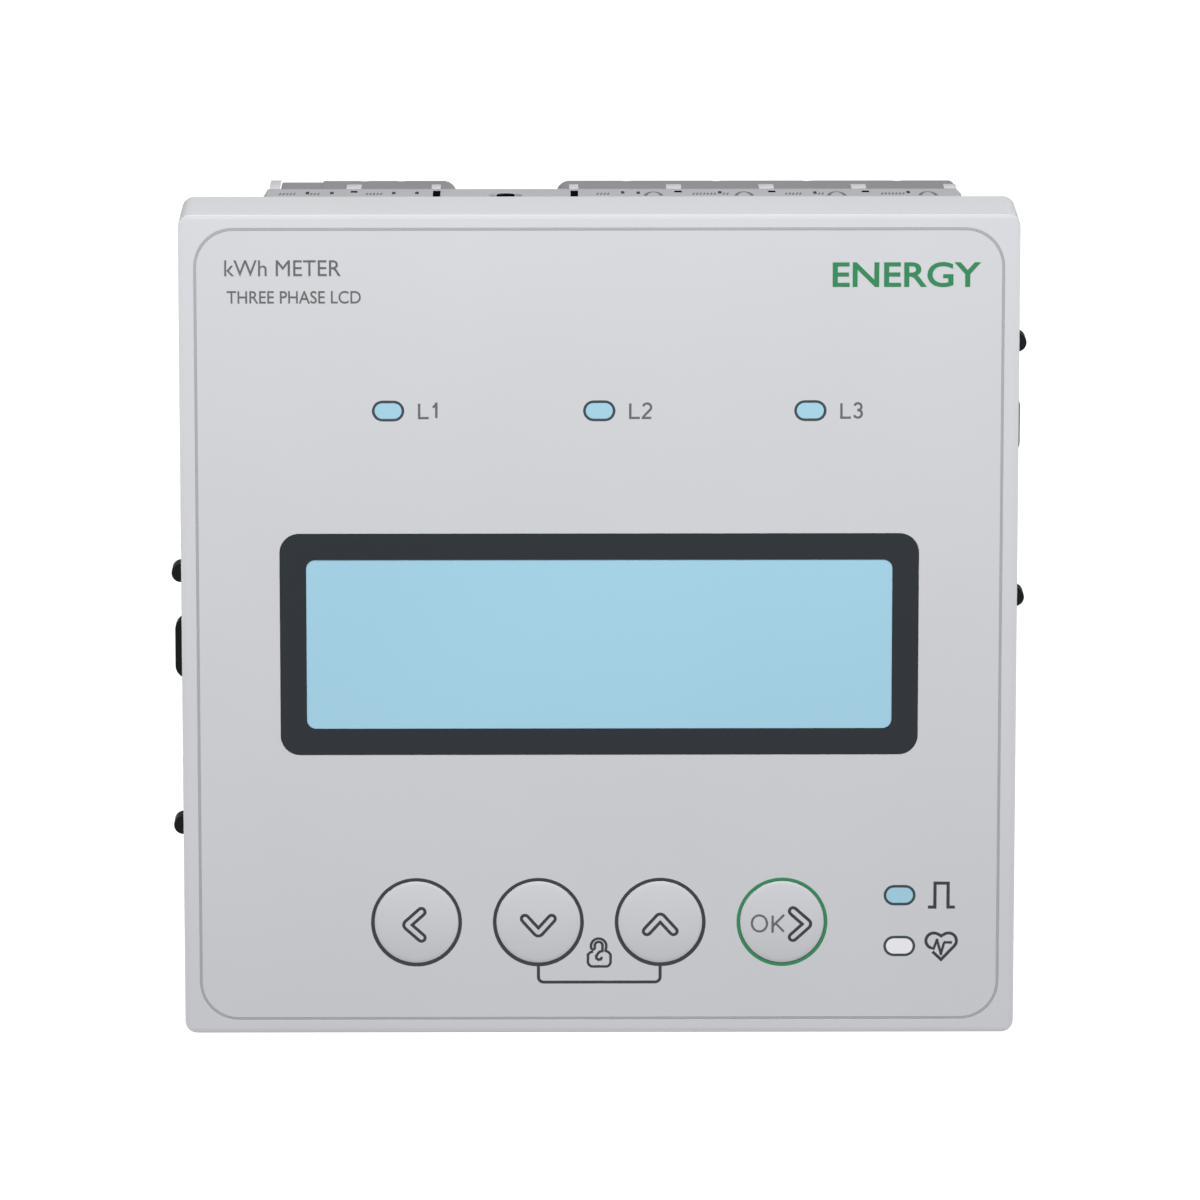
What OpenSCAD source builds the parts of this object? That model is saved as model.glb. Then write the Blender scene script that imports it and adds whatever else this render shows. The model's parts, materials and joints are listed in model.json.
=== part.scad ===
// Flush panel-mounted energy meter, 96 x 96 mm front.
// Origin: centre of the panel cut-out, on the plane where the gasket meets the panel.
// +X right seen from the front, +Y back into the cabinet, +Z up. Millimetres.

/* [Front] */
// Side of the square front
front_side = 96; // [95:0.5:98]
// Depth of the bezel behind its front face
bezel_depth = 13.2; // [13.2:0.1:14]
// Thickness of the panel gasket
gasket_t = 0.8; // [0.5:0.1:1]
// Radius of the bezel's upright corners
bezel_corner_r = 1.4; // [1:0.1:2]
// Radius along the edges of the front face
bezel_edge_r = 0.9; // [0.6:0.1:1.2]
// Half width of the front overlay sheet
overlay_half_w = 45.95; // [45.5:0.05:46]
// Half height of the front overlay sheet
overlay_half_h = 46.15; // [45.5:0.05:46.2]
// Corner radius of the overlay sheet
overlay_r = 4.2; // [3:0.1:5]
// Width of the groove round the overlay sheet
overlay_gap = 0.33; // [0.2:0.01:0.4]

/* [Display] */
// Width of the dark window frame
window_w = 73.3; // [72:0.1:74]
// Height of the dark window frame
window_h = 25.9; // [25:0.1:27]
// Width of the visible display
view_w = 67.4; // [66:0.1:68]
// Height of the visible display
view_h = 19.9; // [19:0.1:20.5]
// Height of the display's centre
view_z = -2; // [-3:0.1:-1]

/* [Keys] */
// Radius of a key cap
key_r = 4.87; // [4.5:0.01:4.9]
// Distance between two keys
key_pitch = 14.1; // [13.5:0.1:15]
// Height of the row of keys
key_z = -34.85; // [-35.5:0.05:-34]
// How far a key travels
key_travel = 0.5; // [0.3:0.1:0.5]

/* [Indicators] */
// Width of an indicator window
lamp_w = 3.1; // [2.8:0.1:3.4]
// Height of an indicator window
lamp_h = 1.8; // [1.6:0.1:2]
// Distance between the phase indicators
phase_pitch = 24.15; // [23:0.05:25]
// Height of the phase indicators
phase_z = 25.3; // [24:0.1:27]
// Sideways place of the pulse and heartbeat indicators
status_x = 34.75; // [34:0.05:35]
// Height of the pulse indicator
pulse_z = -31.7; // [-32:0.1:-31]
// Height of the heartbeat indicator
heartbeat_z = -37.75; // [-38:0.05:-37.5]

/* [Housing] */
// Half width of the rear housing
body_half_w = 43.4; // [43.3:0.1:43.5]
// Height of the deck over the centre
deck_z = 43.5; // [43.4:0.1:43.7]
// Place of the housing's back edge
body_back = 33.3; // [33.2:0.1:33.5]
// Wall thickness of the housing
wall = 2; // [2:0.1:2.1]

/* [Terminals] */
// Distance between the supply plug's poles
power_pitch = 10; // [9.6:0.1:10.2]
// Distance between the voltage plug's poles
voltage_pitch = 11.1; // [10.9:0.1:11.2]
// Distance between the current terminals
current_pitch = 12; // [11.8:0.1:12.2]
// Radius of the cover's hinge pin
hinge_pin_r = 1; // [0.8:0.05:1]

/* [Retainers] */
// Height of the right retainer's centre; the left one is as far below
retainer_z = 13.7; // [13:0.1:14.5]
// Distance from a retainer's centre to each of its feet
foot_offset = 15.2; // [14.5:0.1:15.5]
// Furthest reach of the feet from the middle of the meter
foot_reach = 50.15; // [49.5:0.05:50.5]
// Furthest reach of the thumb tab from the middle of the meter
tab_reach = 51.05; // [50.5:0.05:51.5]

/* [Hidden] */
$fn = 48;
slip = 0.1;
front_y = -gasket_t - bezel_depth;
wall_back_y = front_y + 2.4;
overlay_t = 0.4;
window_back_y = front_y + 1.6;
board_t = 1.6;
display_board_y = front_y + 7.6;
main_board_y = 0.4;
terminal_board_y = 15;
header_back_y = body_back - 2.3;
plug_gap_y = body_back + 0.3;
plug_back_y = body_back + 6.3;
post_at = 39.5;
key_x = [for (i = [-1.5:1:1.5]) i * key_pitch];
phase_x = [-phase_pitch, 0, phase_pitch];
power_x = [-33, -33 + power_pitch];
voltage_x = [for (i = [0:3]) 3.85 + i * voltage_pitch];
comm_x = [for (i = [-1:1]) -28 + i * 5.08];
current_x = [for (i = [-2.5:1:2.5]) i * current_pitch];
current_z = -32;
block_half_w = 37.2;
block_bottom = -43.2;
block_top = -24;
block_base_y = body_back + 2.9;
barrier_y = body_back + 8.2;
hinge_y = 40;
hinge_z = -21.6;
cover_screw_at = [[-38, 24], [38, 24], [-38, -14], [38, -14]];
cover_post_at = [[-11.2, 36], [-37, -2], [37, -2]];
rail_half_w = 8;
rail_out = 45.3;
retainer_in = 45.6;
// Left and right ends of each plug's outer part
power_plug_span = [-37.7, -16.75];
voltage_plug_span = [-4.85, 41.9];
// How far the voltage plug's outer part reaches to the right
voltage_plug_end = 42.9;
comm_plug_span = [-36.2, -19.8];
// Heights of a plug: outer bottom, outer top, inserted bottom, inserted top
large_levels = [30.6, deck_z, 31.6, 40.2];
comm_levels = [9.2, 19.2, 10.4, 18];
// Tongues over the plugs: place and width
tongues = [[-28.95, 1.5], [-19.15, 0.8], [-2.75, 0.8], [9.15, 1.5], [20.2, 1.5], [31.2, 1.5],
    [42.15, 1.2]];
// Small slots in the deck: place and width
deck_slots = [[-28.9, 0.8], [9.65, 0.9], [20.8, 0.9], [31.95, 0.9]];
deck_windows = [-19.05, -2.7];
// Sloping left shoulder of the housing: its upper end and its angle
shoulder_x = -39.2;
shoulder_angle = 60;

// A box between two corners
module block(x0, x1, y0, y1, z0, z1) {
    translate([x0, y0, z0]) cube([x1 - x0, y1 - y0, z1 - z0]);
}

// A flat outline drawn as seen from the front, given depth from y0 to y1
module slab(y0, y1) {
    translate([0, y1, 0]) rotate([90, 0, 0]) linear_extrude(y1 - y0) children();
}

// A round bar along Y
module bar(x, z, r, y0, y1) {
    translate([x, y1, z]) rotate([90, 0, 0]) cylinder(r = r, h = y1 - y0);
}

// A rectangle with round corners, centred
module rounded(w, h, r) {
    square([w - 2 * r, h], center = true);
    square([w, h - 2 * r], center = true);
    for (sx = [-1, 1], sz = [-1, 1])
        translate([sx * (w / 2 - r), sz * (h / 2 - r)]) circle(r);
}

// A slot with round ends, centred
module pill(w, h) {
    square([w - h, h], center = true);
    for (sx = [-1, 1]) translate([sx * (w - h) / 2, 0]) circle(h / 2);
}

// A bar's outline from the side with both front corners rounded
module soft_front(half, y0, y1, r) {
    translate([y0 + r, -half]) square([y1 - y0 - r, 2 * half]);
    translate([y0, -half + r]) square([r, 2 * (half - r)]);
    for (s = [-1, 1]) translate([y0 + r, s * (half - r)]) circle(r);
}

// Copies a piece to the four board corners
module at_corners() {
    for (sx = [-1, 1], sz = [-1, 1]) translate([sx * post_at, 0, sz * post_at]) children();
}

module lamp_holes(y0, y1, spare) {
    for (x = phase_x)
        translate([x, 0, phase_z]) slab(y0, y1) pill(lamp_w + spare, lamp_h + spare);
    for (z = [pulse_z, heartbeat_z])
        translate([status_x, 0, z]) slab(y0, y1) pill(lamp_w + spare, lamp_h + spare);
}

module key_holes(y0, y1) {
    for (x = key_x) bar(x, key_z, key_r + 0.15, y0, y1);
}

// Bezel: a shallow box with a front wall, cut for the window, keys and lamps
module bezel_blank() {
    half = front_side / 2;
    intersection() {
        slab(front_y, -gasket_t) rounded(front_side, front_side, bezel_corner_r);
        rotate([90, 0, 90]) translate([0, 0, -half]) linear_extrude(front_side)
            soft_front(half, front_y, -gasket_t, bezel_edge_r);
        translate([0, 0, -half]) linear_extrude(front_side) rotate(90) mirror([0, 1])
            soft_front(half, front_y, -gasket_t, bezel_edge_r);
    }
}

module front_bezel() {
    color([0.84, 0.85, 0.87]) {
        difference() {
            bezel_blank();
            slab(wall_back_y, 0) rounded(89.8, 89.8, 2);
            slab(front_y - 1, front_y + overlay_t)
                rounded(2 * (overlay_half_w + overlay_gap), 2 * (overlay_half_h + overlay_gap),
                    overlay_r + overlay_gap);
            translate([0, 0, view_z]) slab(front_y, window_back_y)
                rounded(window_w + slip, window_h + slip, 2.25);
            translate([0, 0, view_z]) slab(front_y, wall_back_y + 1)
                rounded(window_w - 2.7, window_h - 2.8, 0.5);
            key_holes(front_y, wall_back_y + 1);
            lamp_holes(front_y, wall_back_y + 1, 0.2);
            for (a = [0:90:270], s = [-1, 1]) rotate([0, a, 0])
                block(s * 25 - 4.2, s * 25 + 4.2, -5.7, -4.3, 44, 45.5);
        }
        at_corners() difference() {
            bar(0, 0, 2.6, wall_back_y - 0.2, display_board_y);
            bar(0, 0, 1.15, display_board_y - 4, display_board_y + 1);
        }
    }
}

module front_overlay() {
    color([0.83, 0.84, 0.86]) difference() {
        slab(front_y, front_y + overlay_t)
            rounded(2 * overlay_half_w, 2 * overlay_half_h, overlay_r);
        translate([0, 0, view_z]) slab(front_y - 1, front_y + 1)
            rounded(window_w + slip, window_h + slip, 2.25);
        key_holes(front_y - 1, front_y + 1);
        lamp_holes(front_y - 1, front_y + 1, 0.1);
    }
}

module window_frame() {
    color([0.21, 0.23, 0.26]) translate([0, 0, view_z]) difference() {
        slab(front_y - 0.05, window_back_y) rounded(window_w, window_h, 2.2);
        slab(front_y - 1, window_back_y + 1) rounded(view_w, view_h, 1.1);
    }
}

module display_lens() {
    color([0.65, 0.82, 0.9]) translate([0, 0, view_z])
        slab(front_y + 0.05, window_back_y) rounded(view_w - slip, view_h - slip, 1.05);
}

module display_glass() {
    color([0.62, 0.75, 0.8]) translate([0, 0, view_z])
        slab(window_back_y, window_back_y + 2.6) square([70.2, 22.7], center = true);
}

module light_guide() {
    color([0.93, 0.95, 0.97]) translate([0, 0, view_z])
        slab(window_back_y + 2.8, window_back_y + 5) square([68.2, 20.8], center = true);
}

module display_holder() {
    color([0.9, 0.9, 0.88]) translate([0, 0, view_z]) difference() {
        slab(wall_back_y, display_board_y) rounded(78, 32, 1.5);
        slab(wall_back_y - 1, window_back_y + 2.8) square([70.6, 23.1], center = true);
        slab(window_back_y, window_back_y + 5.2) square([68.6, 21.2], center = true);
        block(-31, 31, window_back_y + 2.6, display_board_y + 1, -11.35, -10.5);
    }
}

module display_pins() {
    color([0.8, 0.8, 0.8]) for (i = [-11.5:1:11.5])
        block(i * 2.54 - 0.25, i * 2.54 + 0.25, window_back_y + 2.6, display_board_y,
            view_z - 11.25, view_z - 10.75);
}

// Key: a gently domed cap with a flange behind the front wall and a stem
module key(i) {
    dome = 0.4;
    steps = 6;
    flange_front = wall_back_y + 0.1;
    flange_back = wall_back_y + 0.9;
    stem_back = front_y + 4.1;
    color([0.86, 0.87, 0.89]) translate([key_x[i], 0, key_z]) rotate([90, 0, 0])
        rotate_extrude() polygon([
            for (k = [0:steps]) [key_r * k / steps, dome * (1 - pow(k / steps, 2)) - front_y],
            [key_r, -flange_front], [5.8, -flange_front], [5.8, -flange_back],
            [1.5, -flange_back], [1.5, -stem_back], [0, -stem_back]]);
}

module left_key() {
    key(0);
}

module down_key() {
    key(1);
}

module up_key() {
    key(2);
}

module ok_key() {
    key(3);
}

module plunger(i) {
    color([0.15, 0.15, 0.16])
        bar(key_x[i], key_z, 1.75, front_y + 4.1, display_board_y - 1.1 - key_travel);
}

module left_plunger() {
    plunger(0);
}

module down_plunger() {
    plunger(1);
}

module up_plunger() {
    plunger(2);
}

module ok_plunger() {
    plunger(3);
}

module key_switches() {
    color([0.25, 0.25, 0.27]) for (x = key_x) difference() {
        block(x - 3.1, x + 3.1, front_y + 5.1, display_board_y, key_z - 3.1, key_z + 3.1);
        bar(x, key_z, 1.85, front_y + 5, display_board_y - 0.6);
    }
}

module snap_domes() {
    color([0.75, 0.75, 0.76]) for (x = key_x)
        translate([x, display_board_y - 0.6, key_z]) rotate([90, 0, 0])
            cylinder(r1 = 1.7, r2 = 0.9, h = 0.3);
}

// Light pipe: window, flange behind the front wall, and stem to its lamp
module light_pipe(x, z) {
    translate([x, 0, z]) {
        slab(front_y, wall_back_y) pill(lamp_w, lamp_h);
        slab(wall_back_y, wall_back_y + 0.8) pill(lamp_w + 1.4, lamp_h + 1.4);
        slab(wall_back_y + 0.8, display_board_y - 1) pill(lamp_w, lamp_h);
    }
}

module phase_light_pipes() {
    color([0.67, 0.84, 0.92]) for (x = phase_x) light_pipe(x, phase_z);
}

module pulse_light_pipe() {
    color([0.63, 0.79, 0.86]) light_pipe(status_x, pulse_z);
}

module heartbeat_light_pipe() {
    color([0.9, 0.89, 0.92]) light_pipe(status_x, heartbeat_z);
}

module chip(x, z) {
    block(x - 1.1, x + 1.1, display_board_y - 0.8, display_board_y, z - 0.65, z + 0.65);
}

module indicator_chips() {
    color([0.95, 0.93, 0.8]) {
        for (x = phase_x) chip(x, phase_z);
        chip(status_x, pulse_z);
        chip(status_x, heartbeat_z);
    }
}

module display_board() {
    color([0.08, 0.35, 0.2]) difference() {
        slab(display_board_y, display_board_y + board_t) rounded(84.4, 84.4, 1.5);
        at_corners() bar(0, 0, 1.25, -20, 20);
    }
}

module board_header() {
    color([0.12, 0.12, 0.13]) {
        block(-19, 19, display_board_y + board_t, -1.2, 31, 35);
        for (i = [-6.5:1:6.5], z = [31.7, 33.7])
            block(i * 2.54 - 0.3, i * 2.54 + 0.3, -1.2, main_board_y, z - 0.3, z + 0.9);
    }
}

module board_standoffs() {
    top = display_board_y + board_t;
    color([0.8, 0.66, 0.35]) at_corners() {
        difference() {
            translate([0, main_board_y, 0]) rotate([90, 0, 0])
                cylinder(r = 2.5, h = main_board_y - top, $fn = 6);
            bar(0, 0, 1.15, main_board_y - 3.4, main_board_y + 1);
        }
        bar(0, 0, 1.1, display_board_y - 3.6, top);
    }
}

// Small pan-head screw whose head faces +Y; the seat is under its head
module board_screw(seat, length) {
    bar(0, 0, 1.1, seat - length, seat);
    difference() {
        bar(0, 0, 2.1, seat, seat + 1.4);
        block(-0.3, 0.3, seat + 0.8, seat + 2, -1.4, 1.4);
        block(-1.4, 1.4, seat + 0.8, seat + 2, -0.3, 0.3);
    }
}

module board_screws() {
    color([0.78, 0.78, 0.8]) {
        at_corners() board_screw(main_board_y + board_t, 4.6);
        for (p = cover_post_at) translate([p[0], 0, p[1]])
            mirror([0, 1, 0]) board_screw(-terminal_board_y, 7);
    }
}

module main_board() {
    color([0.08, 0.35, 0.2]) difference() {
        slab(main_board_y, main_board_y + board_t)
            rounded(2 * (body_half_w - wall) - 0.6, 2 * (body_half_w - wall) - 0.6, 1.5);
        at_corners() bar(0, 0, 1.25, -20, 20);
    }
}

module leaded_chip(x, z, side) {
    base = main_board_y + board_t;
    block(x - side / 2, x + side / 2, base + 0.1, base + 1.5, z - side / 2, z + side / 2);
    for (s = [-1, 1], i = [-side / 2 + 1:1.27:side / 2 - 1])
        block(min(x + s * side / 2, x + s * (side / 2 + 1)),
            max(x + s * side / 2, x + s * (side / 2 + 1)), base, base + 0.6,
            z + i - 0.2, z + i + 0.2);
}

module main_chips() {
    color([0.14, 0.14, 0.15]) {
        leaded_chip(2, 12, 12);
        leaded_chip(-18, 8, 8);
    }
}

module transformer_core() {
    base = main_board_y + board_t;
    color([0.3, 0.29, 0.28]) difference() {
        block(-37, -19, base + 1, base + 11, 12, 28);
        block(-34, -22, base, base + 12, 15, 17.9);
        block(-34, -22, base, base + 12, 22.1, 25);
    }
}

module transformer_bobbin() {
    base = main_board_y + board_t;
    color([0.85, 0.7, 0.3]) {
        block(-33.7, -22.3, base, base + 11.6, 15.2, 17.8);
        block(-33.7, -22.3, base, base + 11.6, 22.2, 24.8);
        block(-33.7, -22.3, base, base + 0.9, 17.8, 22.2);
    }
}

module supply_capacitors() {
    base = main_board_y + board_t;
    color([0.2, 0.25, 0.4]) for (x = [-12, -2]) {
        bar(x, 30, 3.6, base, base + 0.8);
        bar(x, 30, 4, base + 0.8, base + 10);
    }
}

module line_fuse() {
    base = main_board_y + board_t;
    color([0.85, 0.82, 0.7]) {
        block(6, 20, base, base + 0.8, 32, 36);
        translate([6.5, base + 3, 34]) rotate([0, 90, 0]) cylinder(r = 2.2, h = 13);
    }
}

module surge_varistor() {
    base = main_board_y + board_t;
    color([0.15, 0.35, 0.65]) {
        bar(30, 31, 5, base + 2, base + 5.5);
        for (s = [-1, 1]) block(30 + s * 2.5 - 0.4, 30 + s * 2.5 + 0.4, base, base + 2.1, 30.6, 31.4);
    }
}

module backup_battery() {
    base = main_board_y + board_t;
    color([0.8, 0.8, 0.81]) {
        bar(24, 10, 10, base + 1.2, base + 4.4);
        block(21, 27, base, base + 1.3, 8, 12);
    }
}

module riser_header() {
    color([0.12, 0.12, 0.13]) block(-18, 18, main_board_y + board_t, terminal_board_y, -6, -1.5);
}

// Three toroids, each with a conductor loop through it
module current_transformers() {
    base = main_board_y + board_t;
    color([0.16, 0.2, 0.42]) for (i = [0, 2, 4]) translate([current_x[i] + 2.8, 12.3, current_z]) {
        difference() {
            rotate([0, 90, 0]) cylinder(r = 8.8, h = 6.4);
            translate([-1, 0, 0]) rotate([0, 90, 0]) cylinder(r = 4.2, h = 8.4);
        }
        difference() {
            block(0, 6.4, base - 12.3, 0, -5, 5);
            translate([-1, 0, 0]) rotate([0, 90, 0]) cylinder(r = 8.6, h = 8.4);
        }
    }
}

module current_bars() {
    color([0.83, 0.58, 0.4]) for (i = [0, 2, 4]) {
        block(current_x[i] - 2, current_x[i + 1] + 2, 11.5, 13.1, current_z - 2, current_z + 2);
        for (x = [current_x[i], current_x[i + 1]]) difference() {
            union() {
                block(x - 2, x + 2, 13, block_base_y + 0.2, current_z + 2.2, current_z + 3.8);
                block(x - 2, x + 2, 11.5, 13.1, current_z - 2, current_z + 3.8);
                block(x - 3.6, x + 3.6, block_base_y, block_base_y + 1.2, -36.5, -27.5);
            }
            bar(x, current_z, 2.05, block_base_y - 0.5, block_base_y + 2);
        }
    }
}

module terminal_board() {
    color([0.08, 0.35, 0.2]) difference() {
        block(-41, 41, terminal_board_y, terminal_board_y + board_t, -8, 41);
        beyond_shoulder(terminal_board_y - 1, terminal_board_y + 3, 1.8);
        for (p = cover_post_at) bar(p[0], p[1], 1.25, 10, 20);
    }
}

// Outline of the housing seen from the front
module housing_outline() {
    polygon([[-body_half_w, -body_half_w + 1], [-body_half_w + 1, -body_half_w],
        [body_half_w - 1, -body_half_w], [body_half_w, -body_half_w + 1],
        [body_half_w, deck_z - 0.6], [body_half_w - 0.6, deck_z],
        [-39.7, deck_z], [-body_half_w, deck_z - 2]]);
}

// All that lies outside the sloping shoulder, or outside a line that far below it
module beyond_shoulder(y0, y1, below) {
    slab(y0, y1) translate([shoulder_x, deck_z]) rotate(shoulder_angle)
        translate([-10, -below]) square([20, 10]);
}

// Guide rail on a side wall; side is 1 on the right and -1 on the left
module rail_channel(side) {
    rotate([0, side > 0 ? 0 : 180, 0]) block(42.2, 44, 3.2, body_back + 1,
        retainer_z - 10.2, retainer_z + 10.2);
}

module rail(side) {
    rotate([0, side > 0 ? 0 : 180, 0]) difference() {
        union() {
            block(42, 44.1, 3.2, 30, retainer_z - 6, retainer_z + 6);
            block(44, rail_out, 3.2, 30, retainer_z - rail_half_w, retainer_z + rail_half_w);
        }
        for (y = [6:1.6:28]) translate([rail_out, y, retainer_z])
            rotate([0, 0, 45]) cube([0.7, 0.7, 8], center = true);
    }
}

module tongue(x, w) {
    block(x - w / 2, x + w / 2, body_back - 0.1, body_back + 2.6, deck_z - 1.3, deck_z);
}

// Cheek at the left end of the supply plug, narrower at the back
module end_cheek() {
    translate([0, 0, deck_z - 1.9]) linear_extrude(1.9) polygon([[-39, body_back - 0.1],
        [-37.9, body_back - 0.1], [-37.9, body_back + 5.8], [-38.6, body_back + 5.8],
        [-39, body_back + 3.8]]);
}

module rear_housing() {
    inner = body_half_w - wall;
    color([0.75, 0.75, 0.77]) {
        difference() {
            union() {
                slab(-gasket_t, body_back) housing_outline();
                slab(-7, 3) rounded(89.4, 89.4, 1.9);
                for (a = [0:90:270], s = [-1, 1]) rotate([0, a, 0])
                    block(s * 25 - 4, s * 25 + 4, -5.5, -4.5, 44.5, 45.2);
            }
            difference() {
                block(-inner, inner, -0.9, body_back + 1, -inner, deck_z - wall);
                beyond_shoulder(5, body_back + 2, 1.3);
            }
            beyond_shoulder(6.5, body_back + 2, 0);
            slab(-8, -0.8) rounded(85.6, 85.6, 1);
            rail_channel(1);
            rail_channel(-1);
            for (s = deck_slots) block(s[0] - s[1] / 2, s[0] + s[1] / 2, body_back - 2.7,
                body_back - 0.6, deck_z - 0.9, deck_z + 1);
            for (x = deck_windows) block(x - 0.45, x + 0.45, body_back - 6, body_back - 0.5,
                deck_z - 0.9, deck_z + 1);
            translate([-10.85, body_back - 4.8, deck_z - 0.9]) cylinder(r = 1.95, h = 3);
            at_corners() bar(0, 0, 2.9, -2, 4.2);
            for (i = [-3.5:1:3.5]) block(i * 8 - 1, i * 8 + 1, 7, 23, -body_half_w - 1, -inner + 1);
        }
        rail(1);
        rail(-1);
        for (t = tongues) tongue(t[0], t[1]);
        end_cheek();
        for (p = cover_screw_at) difference() {
            union() {
                bar(p[0], p[1], 3, 19, header_back_y);
                block(min(p[0], sign(p[0]) * (inner + 0.1)), max(p[0], sign(p[0]) * (inner + 0.1)),
                    19, header_back_y, p[1] - 3, p[1] + 3);
            }
            bar(p[0], p[1], 1.5, 21, header_back_y + 1);
        }
    }
}

module rear_cover() {
    inner = body_half_w - wall - 0.15;
    color([0.72, 0.72, 0.74]) {
        difference() {
            block(-inner, inner, header_back_y, body_back, -inner, deck_z - wall - 0.15);
            beyond_shoulder(header_back_y - 1, body_back + 1, 1.5);
            plug_opening(power_plug_span, large_levels);
            plug_opening(voltage_plug_span, large_levels);
            plug_opening(comm_plug_span, comm_levels);
            for (p = cover_screw_at) {
                bar(p[0], p[1], 1.55, 20, 40);
                bar(p[0], p[1], 2.8, body_back - 1.5, 40);
            }
            for (x = current_x) block(x - 2.2, x + 2.2, 20, 40, current_z + 2, current_z + 4);
        }
        for (p = cover_post_at) difference() {
            bar(p[0], p[1], 2.6, terminal_board_y + board_t, header_back_y + 0.1);
            bar(p[0], p[1], 1.15, 10, terminal_board_y + board_t + 6.5);
        }
    }
}

module plug_opening(span, levels) {
    block(span[0] + 0.4, span[1] - 0.4, 20, 40, levels[2] - 0.3, levels[3] + 0.3);
}

module rear_cover_screws() {
    color([0.78, 0.78, 0.8]) for (p = cover_screw_at) {
        bar(p[0], p[1], 1.45, 21.5, body_back - 1.4);
        difference() {
            bar(p[0], p[1], 2.6, body_back - 1.5, body_back - 0.1);
            block(p[0] - 1.7, p[0] + 1.7, body_back - 0.8, 40, p[1] - 0.35, p[1] + 0.35);
            block(p[0] - 0.35, p[0] + 0.35, body_back - 0.8, 40, p[1] - 1.7, p[1] + 1.7);
        }
    }
}

module rating_label() {
    color([0.93, 0.93, 0.94]) translate([10, 0, 8]) slab(body_back, body_back + 0.15)
        rounded(46, 30, 1.5);
}

module panel_gasket() {
    color([0.12, 0.12, 0.12]) difference() {
        slab(-gasket_t, 0) rounded(front_side - 1.2, front_side - 1.2, 1.4);
        slab(-2, 1) rounded(89.8, 89.8, 2);
    }
}

// Retainer for the right side; the left one is the same piece turned half round
module retainer() {
    bottom = retainer_in;
    color([0.1, 0.1, 0.12]) translate([0, 0, retainer_z]) {
        difference() {
            translate([bottom, 0, 0]) rotate([90, 0, 90]) linear_extrude(1.5)
                polygon([[10.3, -17], [13.3, -17], [21, -10], [41.8, -10], [41.8, 10],
                    [21, 10], [13.3, 17], [10.3, 17]]);
            for (s = [-1, 1]) block(bottom - 1, bottom + 3, 17, 34, s * 3.4 - 0.4, s * 3.4 + 0.4);
            block(bottom - 1, bottom + 3, 16.2, 17, -3.8, 3.8);
            for (s = [-1, 1]) block(bottom - 1, bottom + 3, 31, 38, s * 6.9 - 1.4, s * 6.9 + 1.4);
        }
        block(bottom - 0.2, bottom + 0.1, 17.4, 18.2, -3, 3);
        block(bottom + 1.4, bottom + 2.4, 10.3, 13.3, -17, 17);
        for (s = [-1, 1]) {
            foot(s * foot_offset);
            block(bottom + 1.4, bottom + 2.2, 13, 40.2, s * 9.2 - 0.8, s * 9.2 + 0.8);
            block(42.5, bottom + 0.1, 16, 30, s * 9.05 - 0.75, s * 9.05 + 0.75);
            block(42.5, 43.7, 16, 30, min(s * 6.3, s * 9.5), max(s * 6.3, s * 9.5));
        }
        thumb_tab();
    }
}

module foot(z) {
    r = 1.1;
    reach = foot_reach - r;
    block(retainer_in + 1.4, reach, 10.3, 13.3, z - r, z + r);
    translate([reach, 10.3, z]) rotate([-90, 0, 0]) cylinder(r = r, h = 3);
}

module thumb_tab() {
    r = 1.6;
    half = 3.85;
    block(retainer_in + 1, tab_reach - r, 39.9, 41.8, -half, half);
    block(tab_reach - r - 0.1, tab_reach, 39.9, 41.8, r - half, half - r);
    for (s = [-1, 1]) translate([tab_reach - r, 39.9, s * (half - r)])
        rotate([-90, 0, 0]) cylinder(r = r, h = 1.9);
}

module right_retainer() {
    retainer();
}

module left_retainer() {
    rotate([0, 180, 0]) retainer();
}

// Shroud on the terminal board that takes a plug
module header(span, levels) {
    back = terminal_board_y + board_t;
    top = min(levels[3] + 1.3, deck_z - wall - 0.2);
    color([0.2, 0.2, 0.22]) difference() {
        block(span[0] - 0.6, min(span[1] + 0.6, body_half_w - wall - 0.2), back, header_back_y,
            levels[2] - 1.3, top);
        block(span[0] + 0.4, span[1] - 0.6, back + 2.4, 40, levels[2] - 0.3, levels[3] + 0.3);
    }
}

module power_header() {
    header(power_plug_span, large_levels);
}

module voltage_header() {
    header([voltage_plug_span[0], voltage_plug_span[1] - 0.2], large_levels);
}

module comm_header() {
    header(comm_plug_span, comm_levels);
}

module pins_at(centres, z, half) {
    start = terminal_board_y + board_t + 2.4;
    for (x = centres) block(x - half, x + half, start, start + 6, z - half, z + half);
}

module header_pins() {
    color([0.82, 0.76, 0.5]) {
        pins_at(power_x, 33.9, 0.5);
        pins_at(voltage_x, 33.9, 0.5);
        pins_at(comm_x, 12.2, 0.4);
    }
}

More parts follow.
